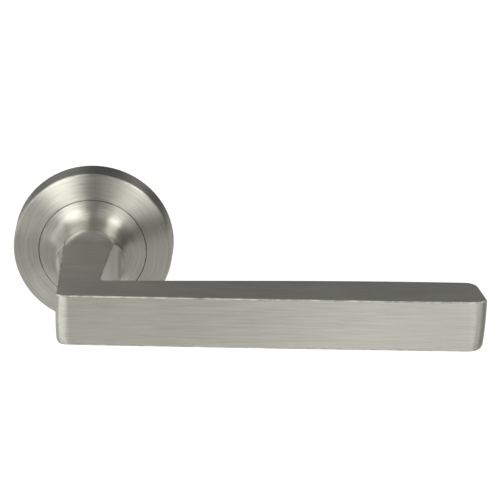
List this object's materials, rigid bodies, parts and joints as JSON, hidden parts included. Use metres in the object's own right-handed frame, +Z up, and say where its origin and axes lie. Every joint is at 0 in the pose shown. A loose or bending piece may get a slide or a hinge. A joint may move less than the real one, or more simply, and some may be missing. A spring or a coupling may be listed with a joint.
{
  "type": "door lever handle",
  "caption": "Straight square-section lever on a round rose, satin nickel, with a hidden sprung base plate, square spindle and bolt-through posts.",
  "frame": {"origin": "where the spindle's axis meets the door's face, midway between the two bolt-through posts", "axes": "+X along the lever, +Y into the door, +Z up"},
  "size_m": [0.1495, 0.1126, 0.0524],
  "materials": {
    "satin_nickel": "satin",
    "zinc_casting": "satin",
    "spring_steel": "satin",
    "plated_steel": "satin",
    "nylon": "satin",
    "black_steel": "satin"
  },
  "bodies": {
    "base": {"base_plate": "zinc_casting", "cover_snap_ring": "spring_steel", "bolt_post_upper": "plated_steel", "bolt_post_lower": "plated_steel", "wood_screws": "plated_steel", "neck_bush": "nylon", "return_spring": "spring_steel", "rest_stop_buffer": "nylon", "end_stop_buffer": "nylon", "keeper_plate": "plated_steel", "keeper_screws": "plated_steel", "wave_washer": "spring_steel", "glide_ring": "nylon"},
    "lever": {"lever_handle": "satin_nickel", "lever_set_screw": "black_steel", "spindle": "plated_steel", "spring_driver": "plated_steel", "retaining_circlip": "black_steel"},
    "cover": {"rose_cover": "satin_nickel"}
  },
  "joints": [
    {"name": "lever_turn", "type": "hinge", "parent": "base", "child": "lever", "pos_m": [0, 0, 0], "axis": [0, 1, 0], "range_deg": [0, 50], "stiffness_Nm_per_rad": 0.15, "springref_deg": -131.78, "deforming": ["return_spring"]},
    {"name": "cover_slide", "type": "slide", "parent": "base", "child": "cover", "axis": [0, -1, 0], "range_m": [0, 0.03]}
  ]
}
